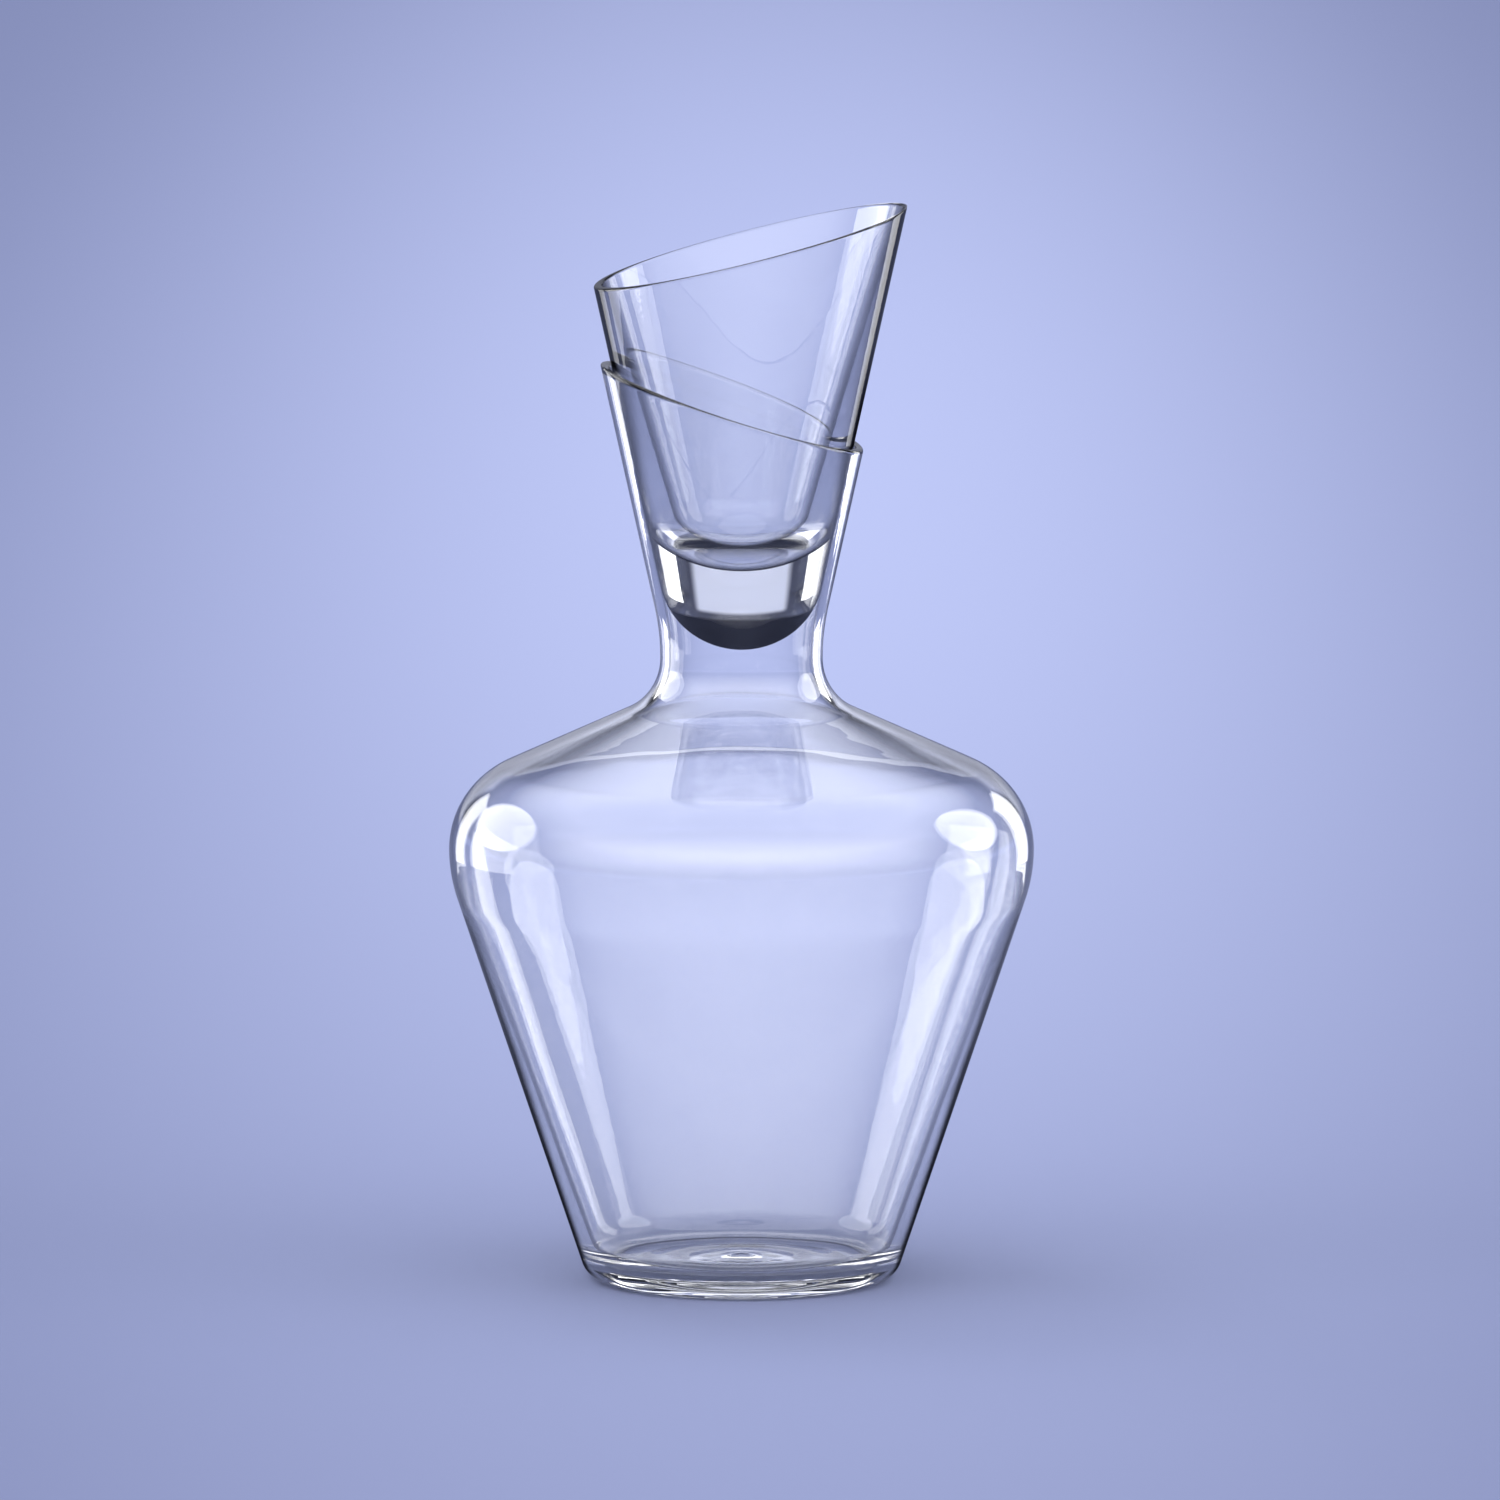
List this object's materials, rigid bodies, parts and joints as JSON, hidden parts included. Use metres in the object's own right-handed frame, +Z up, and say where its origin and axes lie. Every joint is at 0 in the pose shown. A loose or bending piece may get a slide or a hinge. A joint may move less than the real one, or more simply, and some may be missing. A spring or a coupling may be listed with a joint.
{
  "type": "wine decanter",
  "caption": "Blown glass wine decanter, wide shouldered body on a narrow flat foot, funnel neck with a slanted rim, and a loose cup-shaped glass stopper.",
  "frame": {"origin": "centre of the underside, on the axis that the body, the neck and the stopper share", "axes": "+Z up along the turning axis; the two slanted rims lean along X: the carafe's pouring rim is high at -X and low at +X, the stopper's is low at -X and high at +X"},
  "size_m": [0.158, 0.158, 0.2919],
  "materials": {
    "clear_glass": "clear, colourless, fire-polished blown glass",
    "stopper_glass": "clear, colourless, thick polished glass"
  },
  "bodies": {
    "carafe": {"carafe": "clear_glass"},
    "stopper": {"stopper": "stopper_glass"}
  },
  "joints": [
    {"name": "stopper_lift", "type": "slide", "parent": "carafe", "child": "stopper", "axis": [0, 0, 1], "range_m": [0, 0.085]}
  ]
}
